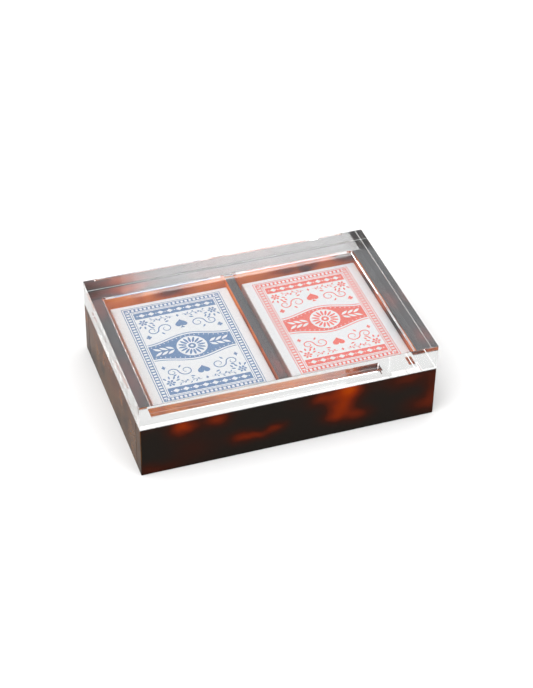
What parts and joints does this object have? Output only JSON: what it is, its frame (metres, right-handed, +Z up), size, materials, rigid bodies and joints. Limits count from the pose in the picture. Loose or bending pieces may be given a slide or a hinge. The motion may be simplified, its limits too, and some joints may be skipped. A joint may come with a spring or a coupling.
{
  "type": "playing card box",
  "caption": "Two-compartment playing card box: dark tortoiseshell acrylic base, thick clear lift-off lid, and a boxed deck of cards lying in each compartment.",
  "frame": {"origin": "centre of the underside of the base", "axes": "+X to the right along the front, +Y to the back, +Z up"},
  "size_m": [0.16, 0.11, 0.045],
  "materials": {
    "tortoiseshell_acrylic": "polished",
    "clear_acrylic": "polished",
    "blue_printed_board": "satin",
    "red_printed_board": "satin",
    "card_stock": "satin"
  },
  "bodies": {
    "base": {"front_wall": "tortoiseshell_acrylic", "back_wall": "tortoiseshell_acrylic", "left_wall": "tortoiseshell_acrylic", "right_wall": "tortoiseshell_acrylic", "floor_panel": "tortoiseshell_acrylic", "divider": "tortoiseshell_acrylic"},
    "lid": {"lid_slab": "clear_acrylic", "lid_locating_plate": "clear_acrylic"},
    "left_deck": {"left_deck_carton": "blue_printed_board", "left_deck_hearts": "card_stock", "left_deck_clubs": "card_stock", "left_deck_diamonds": "card_stock", "left_deck_spades": "card_stock", "left_deck_jokers": "card_stock"},
    "right_deck": {"right_deck_carton": "red_printed_board", "right_deck_hearts": "card_stock", "right_deck_clubs": "card_stock", "right_deck_diamonds": "card_stock", "right_deck_spades": "card_stock", "right_deck_jokers": "card_stock"}
  },
  "joints": [
    {"name": "lid_lift", "type": "slide", "parent": "base", "child": "lid", "axis": [0, 0, 1], "range_m": [0, 0.08]},
    {"name": "left_deck_lift", "type": "slide", "parent": "base", "child": "left_deck", "axis": [0, 0, 1], "range_m": [0, 0.004]},
    {"name": "right_deck_lift", "type": "slide", "parent": "base", "child": "right_deck", "axis": [0, 0, 1], "range_m": [0, 0.004]}
  ]
}
